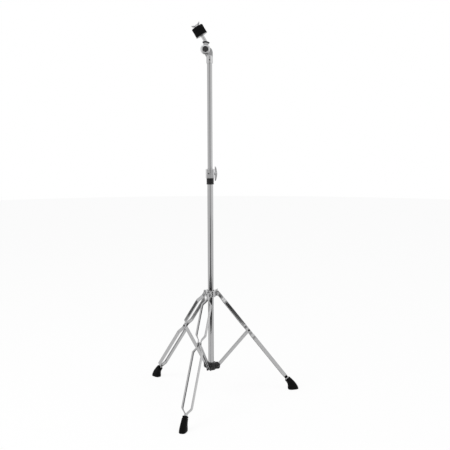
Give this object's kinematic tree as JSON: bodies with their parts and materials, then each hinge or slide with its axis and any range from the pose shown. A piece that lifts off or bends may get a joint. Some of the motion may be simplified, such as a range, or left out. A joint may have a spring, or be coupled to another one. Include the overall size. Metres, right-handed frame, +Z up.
{
  "type": "cymbal stand",
  "caption": "Folding tripod cymbal stand: pinched-strip legs, sliding leg hub, telescopic column and a toothed tilter with felts and wing nuts.",
  "frame": {"origin": "on the floor, in the middle of the rectangle that the stand covers with its legs open", "axes": "+Z up along the column; -Y towards the front leg; +X to the right, with the other two legs at 120 degrees either side of the front one"},
  "size_m": [0.6282, 0.5467, 1.4262],
  "materials": {
    "chrome_tube": "polished chrome plate",
    "chrome_casting": "chrome plate over die casting",
    "leg_plate": "bright nickel plate over stamped steel",
    "plated_fastener": "plated steel",
    "dark_steel": "black oxide",
    "rubber_black": "matt moulded rubber",
    "felt_black": "pressed wool felt",
    "plastic_black": "satin moulded nylon"
  },
  "bodies": {
    "column": {"lower_tube": "chrome_tube", "lower_hub": "plastic_black", "lower_hub_rivet": "plated_fastener", "height_clamp": "chrome_casting", "clamp_band": "plastic_black", "clamp_pin": "dark_steel", "brace_rivet_front": "plated_fastener", "brace_rivet_right": "plated_fastener", "brace_rivet_left": "plated_fastener"},
    "clamp_bolt": {"clamp_wing_bolt": "plated_fastener"},
    "bush": {"clamp_bush": "plastic_black"},
    "post": {"upper_tube": "chrome_tube", "tilter_socket": "chrome_casting", "socket_pin": "dark_steel", "tilter_washer": "plated_fastener"},
    "arm": {"tilter_arm": "chrome_casting", "arm_saddle": "plastic_black", "arm_rod": "chrome_tube", "seat_cup": "plastic_black", "lower_felt": "felt_black", "felt_sleeve": "plastic_black", "tilter_bolt": "dark_steel"},
    "tilter_nut": {"tilter_wing_nut": "plated_fastener"},
    "felt_top": {"upper_felt": "felt_black"},
    "top_nut": {"top_wing_nut": "plated_fastener"},
    "brace_front": {"brace_front": "leg_plate"},
    "brace_right": {"brace_right": "leg_plate"},
    "brace_left": {"brace_left": "leg_plate"},
    "leg_front": {"leg_strip_front_a": "leg_plate", "leg_strip_front_b": "leg_plate", "foot_front": "rubber_black", "hub_rivet_front": "plated_fastener", "knee_rivet_front": "plated_fastener"},
    "leg_right": {"leg_strip_right_a": "leg_plate", "leg_strip_right_b": "leg_plate", "foot_right": "rubber_black", "hub_rivet_right": "plated_fastener", "knee_rivet_right": "plated_fastener"},
    "leg_left": {"leg_strip_left_a": "leg_plate", "leg_strip_left_b": "leg_plate", "foot_left": "rubber_black", "hub_rivet_left": "plated_fastener", "knee_rivet_left": "plated_fastener"},
    "leg_hub": {"upper_hub": "chrome_casting", "hub_bush": "plastic_black"},
    "hub_bolt": {"hub_wing_bolt": "plated_fastener"}
  },
  "joints": [
    {"name": "column_turn", "type": "hinge", "parent": "column", "child": "bush", "pos_m": [0, 0.08425, 0.88], "axis": [0, 0, 1], "continuous": true},
    {"name": "height_slide", "type": "slide", "parent": "bush", "child": "post", "axis": [0, 0, 1], "range_m": [-0.38, 0.1]},
    {"name": "cymbal_tilt", "type": "hinge", "parent": "post", "child": "arm", "pos_m": [-0.01437, 0.07994, 1.327], "axis": [0.2874, -0.9578, 0], "range_deg": [-31, 60]},
    {"name": "tilter_nut_turn", "type": "hinge", "parent": "post", "child": "tilter_nut", "pos_m": [-0.01437, 0.07994, 1.327], "axis": [-0.2874, 0.9578, 0], "continuous": true},
    {"name": "felt_lift", "type": "slide", "parent": "arm", "child": "felt_top", "axis": [-0.4933, -0.148, 0.8572], "range_m": [0, 0.045]},
    {"name": "top_nut_turn", "type": "hinge", "parent": "felt_top", "child": "top_nut", "pos_m": [-0.00205, 0.08363, 1.33473], "axis": [-0.4933, -0.148, 0.8572], "continuous": true},
    {"name": "clamp_bolt_turn", "type": "hinge", "parent": "column", "child": "clamp_bolt", "pos_m": [0.00507, 0.06737, 0.872], "axis": [0.9578, 0.2874, 0], "continuous": true},
    {"name": "brace_front_fold", "type": "hinge", "parent": "column", "child": "brace_front", "pos_m": [0, 0.05875, 0.1235], "axis": [-1, 0, 0], "range_deg": [-4.5, 38.9]},
    {"name": "brace_right_fold", "type": "hinge", "parent": "column", "child": "brace_right", "pos_m": [0.02208, 0.097, 0.1235], "axis": [0.5, -0.866, 0], "range_deg": [-4.5, 38.9]},
    {"name": "brace_left_fold", "type": "hinge", "parent": "column", "child": "brace_left", "pos_m": [-0.02208, 0.097, 0.1235], "axis": [0.5, 0.866, 0], "range_deg": [-4.5, 38.9]},
    {"name": "leg_front_knee", "type": "hinge", "parent": "brace_front", "child": "leg_front", "pos_m": [0, -0.06679, 0.25701], "axis": [-1, 0, 0], "range_deg": [-73.8, 8.7]},
    {"name": "leg_right_knee", "type": "hinge", "parent": "brace_right", "child": "leg_right", "pos_m": [0.13081, 0.15977, 0.25701], "axis": [0.5, -0.866, 0], "range_deg": [-73.8, 8.7]},
    {"name": "leg_left_knee", "type": "hinge", "parent": "brace_left", "child": "leg_left", "pos_m": [-0.13081, 0.15977, 0.25701], "axis": [0.5, 0.866, 0], "range_deg": [-73.8, 8.7]},
    {"name": "hub_on_front_leg", "type": "hinge", "parent": "leg_front", "child": "leg_hub", "pos_m": [0, 0.05825, 0.4125], "axis": [-1, 0, 0], "range_deg": [-4.2, 34.9]},
    {"name": "hub_bolt_turn", "type": "hinge", "parent": "leg_hub", "child": "hub_bolt", "pos_m": [0, 0.10955, 0.4125], "axis": [0, 1, 0], "continuous": true}
  ],
  "couplings": [
    {"joint": "brace_right_fold", "follows": "brace_front_fold", "ratio": 1},
    {"joint": "brace_left_fold", "follows": "brace_front_fold", "ratio": 1},
    {"joint": "leg_front_knee", "follows": "brace_front_fold", "ratio": -1.8941},
    {"joint": "leg_right_knee", "follows": "brace_front_fold", "ratio": -1.8941},
    {"joint": "leg_left_knee", "follows": "brace_front_fold", "ratio": -1.8941},
    {"joint": "hub_on_front_leg", "follows": "brace_front_fold", "ratio": 0.89413}
  ]
}
